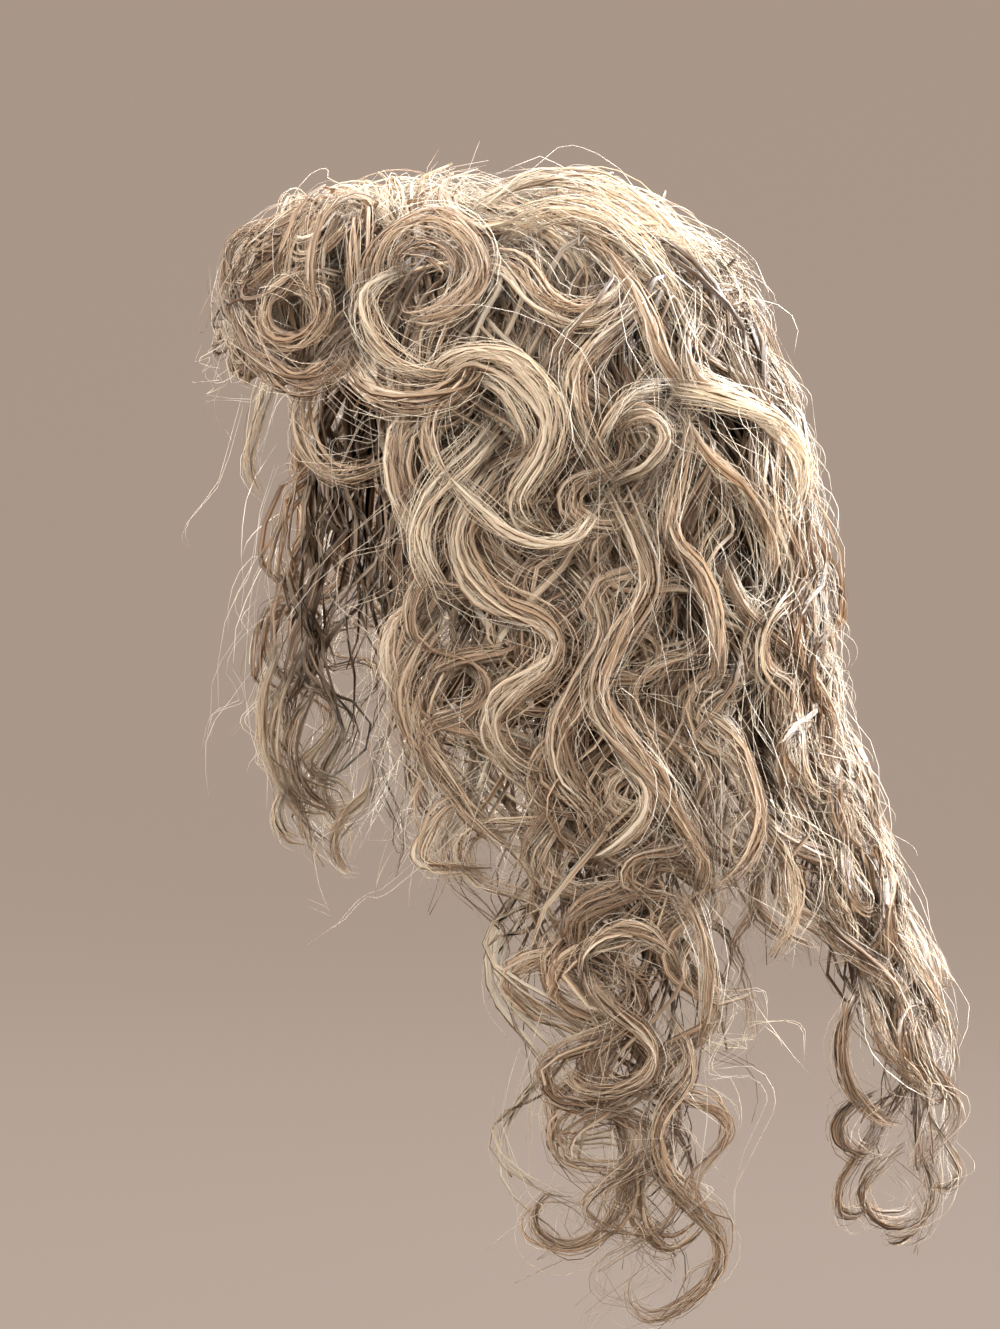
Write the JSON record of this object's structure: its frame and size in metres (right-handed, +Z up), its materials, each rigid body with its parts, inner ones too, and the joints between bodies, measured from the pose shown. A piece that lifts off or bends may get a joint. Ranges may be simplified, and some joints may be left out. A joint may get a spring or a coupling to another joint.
{
  "type": "long curly wig",
  "caption": "Long curly wig in ash blond: a hollow cap with crown, fringe, side and back hair in loose ringlets, shaped as worn on a head.",
  "frame": {"origin": "middle of the head's girth, inside the cap, where the wig sits on a head", "axes": "+Z up, -Y the way the wearer faces, +X towards the wearer's left"},
  "size_m": [0.2608, 0.2819, 0.4178],
  "materials": {
    "cap_net": "matt beige stretch net with sewn rows",
    "pale_hair": "silky pale blond fibre",
    "ash_hair": "silky ash blond fibre"
  },
  "bodies": {
    "root": {"wig_cap": "cap_net", "crown_hair": "pale_hair", "fringe_curls": "pale_hair", "temple_curl": "pale_hair", "left_hair": "ash_hair", "back_hair": "ash_hair", "right_hair": "ash_hair"}
  },
  "joints": []
}
